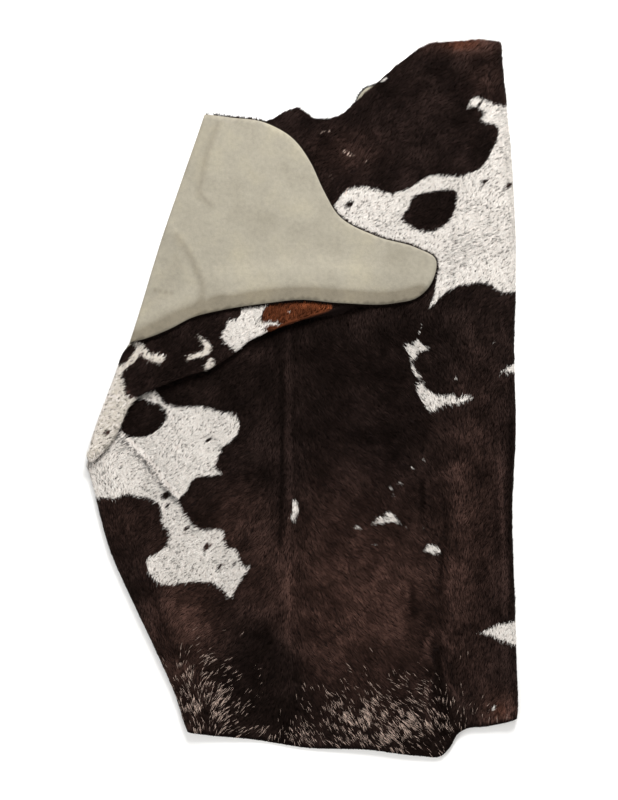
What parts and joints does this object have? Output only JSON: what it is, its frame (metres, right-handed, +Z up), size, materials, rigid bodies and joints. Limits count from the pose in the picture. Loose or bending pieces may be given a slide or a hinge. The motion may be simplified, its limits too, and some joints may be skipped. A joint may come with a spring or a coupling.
{
  "type": "folded cowhide with the hair on",
  "caption": "Hair-on cowhide in dark brown and white, folded along both sides and laid flat, with one leg turned back to show its suede side",
  "frame": {"origin": "middle of the folded hide's bounding box, on the surface it lies on", "axes": "+X across the folded hide towards the long fold of its right side, +Y along it from the neck to the rump, +Z up"},
  "size_m": [1.2042, 2.0032, 0.0339],
  "materials": {
    "hide": "hair on, soft sheen"
  },
  "bodies": {
    "root": {"hide": "hide"}
  },
  "joints": []
}
